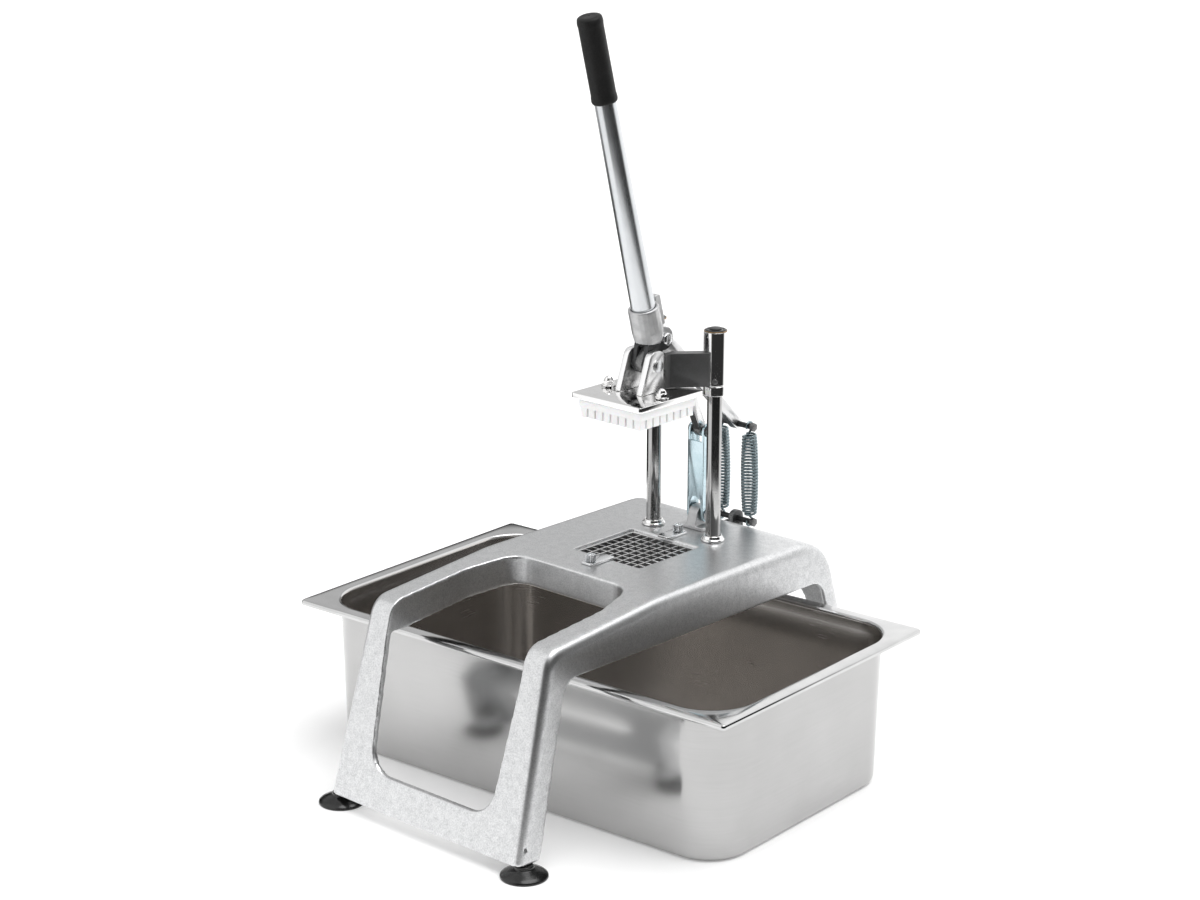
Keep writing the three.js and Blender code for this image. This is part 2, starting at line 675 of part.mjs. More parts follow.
function grip() {
  const { gripStart, gripEnd, gripRadius, topRadius } = handle;
  const bore = topRadius + GAP;
  const waist = gripRadius - 0.5;
  return turned([
    [bore, gripStart], [gripRadius - 0.8, gripStart], [gripRadius, gripStart + 1.5],
    [gripRadius, gripStart + 5], [waist, gripStart + 8], [waist, gripEnd - 10],
    [gripRadius, gripEnd - 6], [gripRadius - 0.8, gripEnd - 1], [gripRadius - 3, gripEnd], [0, gripEnd],
    [0, gripEnd - 5], [bore, gripEnd - 5], [bore, gripStart],
  ], 0, 0);
}
add('grip', grip(), blackRubber(), leverGroup);

// ---------------------------------------------------------------- link to the frame

const lugHalf = 6;
const linkPinRadius = 4;

function linkLug() {
  const [y, z] = linkFoot;
  const low = frame.top + GAP;
  const lug = extrude('x', outline([
    [y - 14, low], [y + 14, low], [y + 9, z + 9, 8.5], [y - 9, z + 9, 8.5],
  ], 6), -lugHalf, lugHalf);
  const base = box([-16, 16], [y - 14, y + 14], [low, low + 3.5]);
  return cut(join(lug, base), rod('x', y, z, linkPinRadius + GAP, -20, 20));
}
add('link_lug', linkLug(), castGrey());

// A channel of bent sheet: its web faces the front, and its two walls hold the pins.
function linkChannel() {
  const { half, wall, frontY, radius, webBottom, webTop } = link;
  const walls = extrude('x', bar(linkFoot, linkTop, radius, radius), -half, half);
  const web = box([-half, half], [frontY, frontY + radius], [webBottom, webTop]);
  const inside = box([-half + wall, half - wall], [frontY + wall, frontY + 40], [200, 350]);
  const belowWeb = box([-half + wall, half - wall], [frontY - 9, frontY + 40], [200, webBottom + 2]);
  const aboveWeb = box([-half + wall, half - wall], [frontY - 9, frontY + 40], [webTop, 350]);
  const arch = rod('y', 0, webBottom + 1, half - wall, frontY - 20, frontY + 20, 20);
  const bores = [linkFoot, linkTop].map(([y, z]) => rod('x', y, z, linkPinRadius + GAP, -20, 20));
  return cut(join(walls, web), inside, belowWeb, aboveWeb, arch, ...bores);
}
add('link_channel', linkChannel(), zinc());
add('link_pin_lower', headedPin(linkFoot, linkPinRadius, link.half, 6, 1.6), zinc());

// The link's upper pin is two stubs, one in each wall, that stop short of the crank plate.
for (const [name, side] of sides) {
  const span = (near, far) => (side > 0 ? [near, far] : [-far, -near]);
  const out = link.half + GAP;
  add(`link_stub_${name}`, join(
    rod('x', ...linkTop, linkPinRadius, ...span(lever.crankHalf + 0.5, out + 1), 16),
    rod('x', ...linkTop, 6, ...span(out, out + 1.8), 16),
  ), blackSteel());
}

// ---------------------------------------------------------------- return springs

const bracket = { half: 3, reach: 8.5, seatHalf: 9, seatLength: 12, seatTop: 209.5, lowZ: 190 };

function springBracket() {
  const [y, z] = springFoot;
  const { half, reach, seatHalf, seatLength, seatTop, lowZ } = bracket;
  const [front, rear, top] = [y - reach, y + reach, z + reach];
  const lug = extrude('x', outline([
    [front - 5, lowZ], [rear, lowZ - 10], [rear, top, 8], [front, top, 8], [front, seatTop - 5, 5],
  ], 5), -half, half);
  const seat = box([-seatHalf, seatHalf], [front - seatLength, front + 6], [lowZ, seatTop]);
  const bore = rod('x', y, z, springs.pinRadius + GAP, -seatHalf, seatHalf);
  return cut(join(lug, seat), bore, bridgeBlock(-GAP));
}
add('spring_bracket', springBracket(), blackSteel());

function springPin([y, z]) {
  const { pinRadius, pinHalf } = springs;
  const nut = (from, to) => rod('x', y, z, pinRadius + 1.8, from, to, 6);
  const pin = rod('x', y, z, pinRadius, -pinHalf, pinHalf);
  return join(pin, nut(pinHalf - 3, pinHalf + 1), nut(-pinHalf - 1, 3 - pinHalf));
}
add('spring_pin_lower', springPin(springFoot), blackSteel());
add('spring_pin_upper', springPin(springTop), blackSteel());

// Each spring is one body of revolution in the coils' outer shape; its upper hook is a piece of its own.
for (const [name, side] of sides) {
  const { halfX, radius, wire, pinRadius } = springs;
  const x = side * (halfX - 3);
  const y = (springFoot[0] + springTop[0]) / 2;
  const [low, high] = [springFoot[1] + pinRadius + GAP, springTop[1] - pinRadius - GAP];
  const [bodyLow, bodyHigh] = [low + 7, high - 6];
  add(`spring_${name}`, turned([
    [0, low], [wire, low], [wire, bodyLow], [radius * 0.55, bodyLow + 1], [radius * 0.88, bodyLow + 7],
    [radius, bodyLow + 16], [radius, bodyHigh - 16], [radius * 0.88, bodyHigh - 7],
    [radius * 0.55, bodyHigh - 1], [0, bodyHigh],
  ], x, y, 16), zinc());
  add(`spring_hook_${name}`, turned([
    [0, bodyHigh + GAP], [wire, bodyHigh + GAP], [wire, high], [0, high],
  ], x, springTop[0], 12), zinc());
}

// ---------------------------------------------------------------- pan

function roundedRing(halfX, halfY, radius, z, steps = 7) {
  const points = [];
  for (const [sx, sy, first] of [[1, 1, 0], [-1, 1, 1], [-1, -1, 2], [1, -1, 3]]) {
    for (let k = 0; k <= steps; k += 1) {
      const angle = (first + k / steps) * (Math.PI / 2);
      points.push(new THREE.Vector3(
        sx * (halfX - radius) + radius * Math.cos(angle), sy * (halfY - radius) + radius * Math.sin(angle), z,
      ));
    }
  }
  return points;
}

function panShell() {
  const { length, width, depth, wall, rimDrop, rimWidth, shoulderDrop, shoulderStep, taper } = pan;
  const ring = (inset, z, radius) => roundedRing(length / 2 - inset, width / 2 - inset, radius, z);
  const neck = rimWidth + wall;
  const body = neck + shoulderStep;
  const foot0 = body + taper;
  const r = pan.bottomRadius;
  const corner = pan.wallCorner;
  const arc = (offset) => Array.from({ length: 5 }, (_, k) => {
    const angle = (k / 4) * (Math.PI / 2);
    return [foot0 + offset + (r - offset) * (1 - Math.cos(angle)), r - (r - offset) * Math.sin(angle)];
  });
  const shrink = (inset) => Math.max(corner - (inset - neck), 8);
  const outer = [
    ...arc(0).reverse(), [body, depth - shoulderDrop - 5], [neck, depth - shoulderDrop], [neck, depth - 3],
  ].map(([inset, z]) => ring(inset, z, shrink(inset)));
  const rim = [
    ring(neck - 2, depth - wall, corner + 2), ring(wall + 1, depth - wall, pan.rimCorner - 1),
    ring(wall, depth - wall - 1, pan.rimCorner - 1), ring(wall, depth - rimDrop, pan.rimCorner - 1),
    ring(0, depth - rimDrop, pan.rimCorner), ring(0, depth - 1.6, pan.rimCorner),
    ring(0.6, depth - 0.4, pan.rimCorner), ring(1.8, depth, pan.rimCorner),
    ring(neck - 1.5, depth, corner + 1.5), ring(neck + 0.4, depth - 0.8, corner),
  ];
  const inner = [
    [neck + wall, depth - 3], [neck + wall, depth - shoulderDrop - 0.5],
    [body + wall, depth - shoulderDrop - 5.5], ...arc(wall),
  ].map(([inset, z]) => ring(inset, z, shrink(inset)));
  return loft([...outer, ...rim, ...inner]);
}

const panGroup = new THREE.Group();
panGroup.position.set(pan.centreX, pan.centreY, 0);
panGroup.rotation.z = THREE.MathUtils.degToRad(pan.turn);
machine.add(panGroup);
add('gastronorm_pan', panShell(), stainless(), panGroup);

// ---------------------------------------------------------------- origin

const bounds = new THREE.Box3().setFromObject(machine);
const middle = bounds.getCenter(new THREE.Vector3());
machine.position.set(-middle.x, -middle.y, -bounds.min.z);

export default machine;
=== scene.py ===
# The looks of a bench vegetable dicer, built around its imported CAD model. Metres, +Z up.
# Cast parts are remeshed from their CAD solids, machined ones get broken edges, and turned
# parts, the pan and the springs are built here from sizes read off the CAD nodes. The light is
# staged: a ring that only reflections see has bright and dark banks around the machine.

import json
import math

import bmesh
import bpy
from mathutils import Matrix, Vector


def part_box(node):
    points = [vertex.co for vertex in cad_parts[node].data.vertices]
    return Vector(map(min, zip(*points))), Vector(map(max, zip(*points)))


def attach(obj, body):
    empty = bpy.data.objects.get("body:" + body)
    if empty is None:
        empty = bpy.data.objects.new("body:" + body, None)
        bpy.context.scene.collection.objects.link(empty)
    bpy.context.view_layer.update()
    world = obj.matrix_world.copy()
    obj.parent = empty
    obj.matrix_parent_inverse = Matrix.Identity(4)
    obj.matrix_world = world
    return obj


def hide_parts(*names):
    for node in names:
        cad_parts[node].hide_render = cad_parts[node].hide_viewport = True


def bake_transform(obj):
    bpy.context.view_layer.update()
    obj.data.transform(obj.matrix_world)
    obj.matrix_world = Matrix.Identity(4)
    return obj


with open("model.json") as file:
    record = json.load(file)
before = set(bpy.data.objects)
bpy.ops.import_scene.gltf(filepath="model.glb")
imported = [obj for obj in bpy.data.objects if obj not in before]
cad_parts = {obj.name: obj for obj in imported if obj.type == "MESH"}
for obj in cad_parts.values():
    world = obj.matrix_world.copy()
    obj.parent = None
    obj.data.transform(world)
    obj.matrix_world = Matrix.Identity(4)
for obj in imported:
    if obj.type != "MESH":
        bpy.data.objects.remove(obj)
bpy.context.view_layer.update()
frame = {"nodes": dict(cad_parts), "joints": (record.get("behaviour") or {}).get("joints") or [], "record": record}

MM = 0.001
UP = Vector((0, 0, 1))
ALONG_X = Vector((1, 0, 0))
SIDES = ("left", "right")

BODY_OF = {node: body for body, nodes in frame["record"]["behaviour"]["bodies"].items() for node in nodes}


# ------------------------------------------------------------------ reading the frame


def centre(node):
    low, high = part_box(node)
    return (low + high) / 2


def radius(node):
    """Half a node's width along X: the radius of one that is turned about a vertical axis."""
    low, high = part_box(node)
    return (high.x - low.x) / 2


def points(node):
    return [v.co.copy() for v in frame["nodes"][node].data.vertices]


def mean(node):
    found = points(node)
    return sum(found, Vector()) / len(found)


def joint(name):
    return next(j for j in frame["joints"] if j["name"] == name)


# ------------------------------------------------------------------ meshes


def show(name, mesh, material, sharp=38):
    """An object of a finished mesh: smooth, with its edges kept sharp above an angle in degrees."""
    for face in mesh.polygons:
        face.use_smooth = True
    mesh.set_sharp_from_angle(angle=math.radians(sharp))
    made = bpy.data.objects.new(name, mesh)
    bpy.context.scene.collection.objects.link(made)
    made.data.materials.clear()
    made.data.materials.append(material)
    return made


def stands_for(piece, *nodes):
    """The piece rides on the nodes' body and is shown in their place."""
    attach(piece, BODY_OF[nodes[0]])
    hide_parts(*nodes)
    return piece


def applied(piece):
    """Turns an object's modifiers into its mesh."""
    evaluated = piece.evaluated_get(bpy.context.evaluated_depsgraph_get())
    mesh = bpy.data.meshes.new_from_object(evaluated)
    piece.modifiers.clear()
    piece.data = mesh
    return mesh


def node_mesh(node, flatten=True):
    """A welded copy of a CAD node's mesh, with the triangles of each flat face joined."""
    form = bmesh.new()
    form.from_mesh(frame["nodes"][node].data)
    bmesh.ops.remove_doubles(form, verts=form.verts, dist=1e-6)
    if flatten:
        bmesh.ops.dissolve_limit(form, angle_limit=math.radians(0.3), verts=form.verts, edges=form.edges)
    mesh = bpy.data.meshes.new(node + "_look")
    form.to_mesh(mesh)
    form.free()
    return mesh


def machined(node, material, edge=0.4, steps=2, sharp=38):
    """A node with its edges broken by a small round, in millimetres."""
    piece = show(node + "_look", node_mesh(node), material)
    bevel = piece.modifiers.new("edge", "BEVEL")
    bevel.width = edge * MM
    bevel.segments = steps
    bevel.limit_method = "ANGLE"
    bevel.angle_limit = math.radians(32)
    bevel.use_clamp_overlap = True
    mesh = applied(piece)
    for face in mesh.polygons:
        face.use_smooth = True
    mesh.set_sharp_from_angle(angle=math.radians(sharp))
    return stands_for(piece, node)


def cast(node, material, voxel, smoothing, keep=1.0):
    """A node as a casting: one skin with soft edges and filled corners."""
    piece = show(node + "_look", node_mesh(node, flatten=False), material)
    remesh = piece.modifiers.new("skin", "REMESH")
    remesh.mode = "VOXEL"
    remesh.voxel_size = voxel * MM
    smooth = piece.modifiers.new("soften", "SMOOTH")
    smooth.factor = 0.5
    smooth.iterations = smoothing
    if keep < 1:
        thin = piece.modifiers.new("thin", "DECIMATE")
        thin.ratio = keep
    mesh = applied(piece)
    for face in mesh.polygons:
        face.use_smooth = True
    return stands_for(piece, node)


def softened(path, size, steps=4, closed=False):
    """A path of 2-D points with its corners turned into small curves of about that size."""
    found = []
    count = len(path)
    for i, here in enumerate(path):
        if not closed and i in (0, count - 1):
            found.append(Vector(here))
            continue
        here, before, after = Vector(here), Vector(path[i - 1]), Vector(path[(i + 1) % count])
        reach = min(size, (before - here).length * 0.45, (after - here).length * 0.45)
        start = here + (before - here).normalized() * reach
        end = here + (after - here).normalized() * reach
        for k in range(steps + 1):
            t = k / steps
            found.append(start * (1 - t) ** 2 + here * 2 * t * (1 - t) + end * t * t)
    return found


def skin(name, rings, material, close_ring=True, caps=True, join_ends=False, sharp=38):
    """A surface through rings of points, each ring as long as the next."""
    form = bmesh.new()
    rows = [[form.verts.new(p) for p in ring] for ring in rings]
    pairs = list(zip(rows, rows[1:])) + ([(rows[-1], rows[0])] if join_ends else [])
    count = len(rows[0])
    for a, b in pairs:
        for k in range(count if close_ring else count - 1):
            n = (k + 1) % count
            form.faces.new((a[k], a[n], b[n], b[k]))
    if caps and not join_ends:
        form.faces.new(rows[0])
        form.faces.new(rows[-1])
    bmesh.ops.remove_doubles(form, verts=form.verts, dist=1e-7)
    bmesh.ops.recalc_face_normals(form, faces=form.faces)
    mesh = bpy.data.meshes.new(name)
    form.to_mesh(mesh)
    form.free()
    return show(name, mesh, material, sharp)


def lathe(name, profile, foot, material, axis=UP, segments=64, tube=False, ridges=0, ridge_depth=0, sharp=38):
    """Turns [radius, height] points, in millimetres, about an axis through foot; ridges knurl it."""
    turn = axis.to_track_quat("Z", "Y").to_matrix()
    rings = []
    widest = max(r for r, _ in profile)
    for r, h in profile:
        ring = []
        for k in range(segments):
            angle = 2 * math.pi * k / segments
            cut = ridge_depth * (0.5 + 0.5 * math.cos(ridges * angle)) if ridges and r > 0.8 * widest else 0
            reach = max(r - cut, 1e-4)
            ring.append(foot + turn @ Vector((reach * math.cos(angle), reach * math.sin(angle), h)) * MM)
        rings.append(ring)
    return skin(name, rings, material, join_ends=tube, sharp=sharp)


def sweep(name, path, wire, material, sides=10):
    """A round wire of a radius in metres along a path of points."""
    rings = []
    side = None
    for i, here in enumerate(path):
        heading = (path[min(i + 1, len(path) - 1)] - path[max(i - 1, 0)]).normalized()
        if side is None:
            side = heading.orthogonal().normalized()
        side = (side - heading * side.dot(heading)).normalized()
        other = heading.cross(side)
        rings.append([
            here + (side * math.cos(a) + other * math.sin(a)) * wire
            for a in (2 * math.pi * k / sides for k in range(sides))
        ])
    return skin(name, rings, material)


# ------------------------------------------------------------------ materials


class Finish:
    """One material: a metallic or plain surface with grain, blotches, wear and relief."""

    def __init__(self, name, **sockets):
        self.material = bpy.data.materials.new(name)
        self.material.use_nodes = True
        self.tree = self.material.node_tree
        self.shader = self.tree.nodes["Principled BSDF"]
        for socket, value in sockets.items():
            self.shader.inputs[socket.replace("_", " ")].default_value = value
        self.place = self.node("ShaderNodeTexCoord").outputs["Object"]

    def node(self, kind, inputs=None, **settings):
        made = self.tree.nodes.new(kind)
        for key, value in settings.items():
            setattr(made, key, value)
        for socket, value in (inputs or {}).items():
            self.feed(made.inputs[socket], value)
        return made

    def feed(self, socket, value):
        if isinstance(value, bpy.types.NodeSocket):
            self.tree.links.new(value, socket)
        else:
            socket.default_value = value

    def noise(self, size, stretch=(1, 1, 1), detail=4.0, turn=(0, 0, 0)):
        """Noise whose features are about size millimetres wide, longer where stretch is above 1."""
        scale = tuple(1 / (size * MM * s) for s in stretch)
        place = self.node("ShaderNodeMapping", {"Vector": self.place, "Rotation": turn, "Scale": scale})
        made = self.node("ShaderNodeTexNoise", {"Vector": place.outputs[0], "Scale": 1.0, "Detail": detail})
        return made.outputs["Fac"]

    def band(self, value, start, end, low=0.0, high=1.0):
        made = self.node("ShaderNodeMapRange", {
            "Value": value, "From Min": start, "From Max": end, "To Min": low, "To Max": high,
        })
        return made.outputs["Result"]

    def maths(self, operation, a, b):
        return self.node("ShaderNodeMath", {0: a, 1: b}, operation=operation).outputs[0]

    def mix(self, share, a, b):
        made = self.node("ShaderNodeMix", {0: share, 6: a, 7: b}, data_type="RGBA")
        return made.outputs[2]

    def relief(self, height, depth, under=None, strength=1.0):
        inputs = {"Height": height, "Distance": depth * MM, "Strength": strength}
        if under is not None:
            inputs["Normal"] = under
        return self.node("ShaderNodeBump", inputs).outputs["Normal"]

    def done(self, colour=None, roughness=None, normal=None):
        for socket, value in (("Base Color", colour), ("Roughness", roughness), ("Normal", normal)):
            if value is not None:
                self.feed(self.shader.inputs[socket], value)
        return self.material


def grey(value, warmth=0.0, alpha=1.0):
    return (value * (1 + warmth), value, value * (1 - warmth), alpha)


def surface(name, light, dark, roughness, spread, grain, depth, blotch=22.0, stretch=(1, 1, 1),
            grain_share=0.5, worn=None, turn=(0, 0, 0), Metallic=1.0, **sockets):
    """A grained surface between two colours, rougher in its dark blotches, and bright where worn is set."""
    f = Finish(name, Metallic=Metallic, **sockets)
    fine = f.noise(grain, stretch, 6.0, turn)
    broad = f.noise(blotch, detail=3.0)
    share = f.maths("ADD", f.maths("MULTIPLY", f.band(fine, 0.3, 0.7), grain_share),
                    f.maths("MULTIPLY", f.band(broad, 0.35, 0.65), 1 - grain_share))
    colour = f.mix(share, dark, light)
    rough = f.band(share, 0.0, 1.0, roughness + spread, roughness - spread)
    if worn:
        bare = f.band(f.node("ShaderNodeNewGeometry").outputs["Pointiness"], 0.52, 0.58)
        colour = f.mix(bare, colour, worn)
        rough = f.maths("SUBTRACT", rough, f.maths("MULTIPLY", bare, roughness * 0.35))
    normal = f.relief(fine, depth) if depth else None
    return f.done(colour, rough, normal)


cast_aluminium = surface(
    "cast_aluminium", grey(0.80, -0.006), grey(0.52, -0.012), 0.35, 0.08, grain=1.4, depth=0.09,
    blotch=7, grain_share=0.75, worn=grey(0.94))
grey_casting = surface(
    "grey_casting", grey(0.66), grey(0.50, -0.01), 0.46, 0.07, grain=0.9, depth=0.05, blotch=9,
    worn=grey(0.8))
pan_outside = surface(
    "pan_steel", grey(0.50, 0.004), grey(0.44, 0.006), 0.17, 0.03, grain=0.5, depth=0.0014, blotch=80,
    stretch=(90, 90, 1), grain_share=0.5)
# A lighter, warmer copy of the pan steel for the inside of the pan: painted light, for the light and warm
# reflections that fall inside it.
pan_inside_painted_light = surface(
    "pan_steel_inside_painted_light", grey(0.62, 0.035), grey(0.50, 0.045), 0.24, 0.04, grain=0.6, depth=0.002, blotch=60,
    stretch=(70, 70, 1), grain_share=0.55)
pan_rim = surface(
    "pan_rim_steel", grey(0.64), grey(0.54), 0.11, 0.04, grain=0.8, depth=0.002, blotch=40,
    stretch=(40, 40, 1))
blade_steel = surface(
    "blade_steel", grey(0.86), grey(0.76), 0.34, 0.06, grain=0.5, depth=0.003, blotch=12, stretch=(30, 30, 1))
chrome = surface(
    "chrome", grey(0.90), grey(0.84, 0.01), 0.07, 0.03, grain=0.6, depth=0.001, blotch=14, stretch=(6, 6, 1))
# A darker copy of the chrome for the columns: painted dark reflection, for the dark surroundings that their sides
# reflect.
column_chrome_painted_dark = surface(
    "column_chrome_painted_dark", grey(0.50), grey(0.40, 0.01), 0.10, 0.03, grain=0.6, depth=0.001, blotch=14,
    stretch=(6, 6, 1))
machined_steel = surface(
    "machined_steel", grey(0.94), grey(0.86), 0.36, 0.06, grain=0.6, depth=0.006, blotch=9,
    stretch=(1, 12, 12), worn=grey(0.92))
zinc = surface(
    "zinc", grey(0.74, -0.02), grey(0.62, -0.03), 0.24, 0.06, grain=0.8, depth=0.006, blotch=10,
    worn=grey(0.88))
blue_zinc = surface(
    "blue_zinc", (0.68, 0.80, 0.85, 1), (0.50, 0.66, 0.72, 1), 0.24, 0.07, grain=1.0, depth=0.008, blotch=14)
tube_zinc = surface(
    "tube_zinc", grey(0.72, -0.02), grey(0.66, -0.03), 0.25, 0.03, grain=0.7, depth=0.004, blotch=30,
    stretch=(1, 1, 40), turn=(math.radians(-15), 0, 0))
spring_steel = surface(
    "spring_steel", (0.30, 0.36, 0.38, 1), (0.17, 0.22, 0.24, 1), 0.26, 0.08, grain=0.6, depth=0.01, blotch=5)
# Dark steel for the screws, pins, stubs and spring bracket; it also gives painted shade to the socket's fork, the
# blades' sides and, in part, the crank plate's edges.
dark_steel_and_painted_shade = surface(
    "dark_steel_and_painted_shade", grey(0.060, -0.03), grey(0.028), 0.38, 0.10, grain=0.8, depth=0.02, blotch=8, Metallic=0.6,
    worn=grey(0.20))
# Near-black steel for the carriage arms: painted dark reflection, for the dark surroundings that the arms reflect.
arm_steel_painted_dark = surface(
    "arm_steel_painted_dark", grey(0.055, -0.02), grey(0.028), 0.42, 0.10, grain=1.2, depth=0.06, blotch=11, Metallic=0.4,
    worn=grey(0.12))
bronze = surface(
    "bronze", (0.55, 0.36, 0.17, 1), (0.35, 0.21, 0.09, 1), 0.35, 0.08, grain=0.5, depth=0.01, blotch=3)
rubber = surface(
    "rubber", grey(0.010), grey(0.006), 0.19, 0.06, grain=0.7, depth=0.02, blotch=9, Metallic=0.0)
grip_rubber = surface(
    "grip_rubber", grey(0.012), grey(0.004), 0.46, 0.08, grain=1.3, depth=0.16, blotch=14, Metallic=0.0,
    grain_share=0.7, Specular_IOR_Level=0.22)
black_plastic = surface(
    "black_plastic", grey(0.020), grey(0.012), 0.35, 0.08, grain=0.6, depth=0.01, blotch=5, Metallic=0.0)
bright_steel = surface(
    "bright_steel", grey(0.80), grey(0.70), 0.30, 0.06, grain=0.7, depth=0.006, blotch=10, worn=grey(0.9))
white_plastic = surface(
    "white_plastic", grey(0.90, -0.005), grey(0.84), 0.34, 0.06, grain=1.6, depth=0.015, blotch=18,
    Metallic=0.0, Subsurface_Weight=0.15, Subsurface_Scale=0.004)


# ------------------------------------------------------------------ cast frame and feet

cast("base_frame", cast_aluminium, voxel=1.4, smoothing=6, keep=0.55)
cast("link_lug", grey_casting, voxel=0.5, smoothing=4)
socket = cast("handle_socket", grey_casting, voxel=0.5, smoothing=4)
# The socket's fork below the crank bolt takes the dark steel as painted shade, for the shade that falls between
# the cheeks.
socket.data.materials.append(dark_steel_and_painted_shade)
fork_painted_shade_top = centre("crank_bolt").z - 2 * MM
for face in socket.data.polygons:
    face.material_index = int(face.center.z < fork_painted_shade_top)

for node in [n for n in frame["nodes"] if n.startswith("foot_") and "stud" not in n]:
    low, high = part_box(node)
    foot_radius, height = radius(node) / MM, (high.z - low.z) / MM
    collar = foot_radius * 0.4
    profile = softened([
        (0, 1.5), (foot_radius - 4.5, 0.0), (foot_radius, 0.0), (foot_radius, 2.4), (foot_radius - 3, 4.6),
        (foot_radius * 0.62, 7.2), (collar, 9.0), (collar, height), (0, height),
    ], 1.2)
    middle = centre(node)
    stands_for(lathe(node + "_look", profile, Vector((middle.x, middle.y, low.z)), rubber), node)

for node in [n for n in frame["nodes"] if n.startswith("foot_stud") or n.startswith("column_nut")]:
    machined(node, zinc)


# ------------------------------------------------------------------ columns and sleeves

for side in SIDES:
    low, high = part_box(f"column_{side}")
    middle = centre(f"column_{side}")
    foot = Vector((middle.x, middle.y, low.z))
    r, length = radius(f"column_{side}") / MM, (high.z - low.z) / MM
    rod = softened([(0, 0), (r - 1, 0), (r, 1), (r, length - 1), (r - 1, length), (0, length)], 0.6)
    stands_for(lathe(f"column_{side}_look", rod, foot, column_chrome_painted_dark), f"column_{side}")

    low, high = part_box(f"column_cap_{side}")
    r, height = radius(f"column_cap_{side}") / MM, (high.z - low.z) / MM
    dome = [(0, 0), (r, 0), (r, height * 0.4), (r * 0.8, height * 0.85), (r * 0.4, height), (0, height)]
    stands_for(lathe(f"column_cap_{side}_look", softened(dome, 0.4), Vector((middle.x, middle.y, low.z)),
                     black_plastic), f"column_cap_{side}")

    low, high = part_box(f"column_collar_{side}")
    r, height = radius(f"column_collar_{side}") / MM, (high.z - low.z) / MM
    bore = radius(f"column_{side}") / MM + 0.3
    flange = softened([
        (bore, 0), (r, 0), (r, height * 0.3), (r - 1.4, height * 0.5), (r - 2.6, height), (bore, height),
    ], 0.7, closed=True)
    stands_for(lathe(f"column_collar_{side}_look", flange, Vector((middle.x, middle.y, low.z)), chrome,
                     tube=True), f"column_collar_{side}")

    low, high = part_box(f"sleeve_{side}")
    foot = Vector((middle.x, middle.y, low.z))
    r, height = radius(f"sleeve_{side}") / MM, (high.z - low.z) / MM
    bore = radius(f"bush_lower_{side}") / MM + 0.2
    barrel = softened([
        (bore, 0), (r, 0), (r, 9.2), (r - 0.5, 9.6), (r - 0.5, 10.4), (r, 10.8), (r, height), (bore, height),
    ], 0.5, closed=True)
    stands_for(lathe(f"sleeve_{side}_look", barrel, foot, chrome, tube=True), f"sleeve_{side}")
    machined(f"bush_lower_{side}", black_plastic, 0.3)
    low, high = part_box(f"bush_upper_{side}")
    r, inner = radius(f"bush_upper_{side}") / MM, bore - 0.2 - 1.4
    top, lip = (high.z - low.z) / MM, (high.z - low.z) / MM - 1.7
    shell = softened([
        (inner, 0), (bore - 0.3, 0), (bore - 0.3, lip), (r, lip), (r, lip + 0.7), (r - 1.2, lip + 0.8),
        (r - 1.6, top), (inner, top),
    ], 0.3, closed=True)
    foot = Vector((middle.x, middle.y, low.z))
    stands_for(lathe(f"bush_upper_{side}_look", shell, foot, black_plastic, tube=True), f"bush_upper_{side}")
    ring = softened([(bore, lip), (r + 0.1, lip), (r + 0.1, lip + 0.7), (bore, lip + 0.7)], 0.2, closed=True)
    trim = lathe(f"bush_ring_{side}", ring, foot, bronze, tube=True)
    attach(trim, "carriage")
    machined(f"sleeve_screw_{side}", dark_steel_and_painted_shade, 0.5)


# ------------------------------------------------------------------ blade grid and its clamps

machined("blade_frame", blade_steel, 0.3)
painted_shade_blades = machined("blade_grid", blade_steel, 0.12)
# The blades' upright sides take the dark steel as painted shade, for the shade down in the grid's cells; their top
# edges stay bright.
painted_shade_blades.data.materials.append(dark_steel_and_painted_shade)
for face in painted_shade_blades.data.polygons:
    face.material_index = int(abs(face.normal.z) < 0.3)

for place in ("front", "rear"):
    machined(f"clamp_tab_{place}", zinc, 0.5)
    node = f"clamp_screw_{place}"
    low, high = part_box(node)
    tab_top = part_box(f"clamp_tab_{place}")[1].z
    middle = centre(node)
    shank, head = 2.5, radius(node) / MM
    start, top = (tab_top - low.z) / MM + 0.3, (high.z - low.z) / MM
    knob = softened([
        (0, 0), (shank, 0), (shank, start), (head, start), (head, top), (head * 0.55, top),
        (head * 0.5, top - 1), (0, top - 1),
    ], 0.6)
    stands_for(lathe(node + "_look", knob, Vector((middle.x, middle.y, low.z)), zinc, segments=120,
                     ridges=20, ridge_depth=0.5), node)


# ------------------------------------------------------------------ carriage

# A bright bead runs up each sleeve where its arm meets it; its turn is in degrees from straight ahead.
SEAM_RADIUS, SEAM_TURN, SEAM_PROUD, SEAM_END = 1.9, 62, 0.6, 1

for side in SIDES:
    machined(f"cheek_{side}", machined_steel, 0.6)
    node = f"carriage_arm_{side}"
    machined(node, arm_steel_painted_dark, 0.6)
    arm_low, arm_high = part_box(node)
    middle, r = centre(f"sleeve_{side}"), radius(f"sleeve_{side}") / MM
    inward = 1 if side == "left" else -1
    a = math.radians(-90 + inward * SEAM_TURN)
    reach = (r + SEAM_PROUD) * MM
    seam = Vector((middle.x + reach * math.cos(a), middle.y + reach * math.sin(a), arm_low.z + SEAM_END * MM))
    height = (arm_high.z - arm_low.z) / MM - 2 * SEAM_END
    bead = softened([(0, 0), (SEAM_RADIUS, 0.6), (SEAM_RADIUS, height - 0.6), (0, height)], 0.8)
    weld = lathe(f"arm_seam_{side}", bead, seam, bright_steel, segments=24)
    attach(weld, "carriage")
machined("pusher_plate", chrome, 0.5)
machined("pusher", white_plastic, 0.5)
machined("pivot_pin", zinc, 0.5)

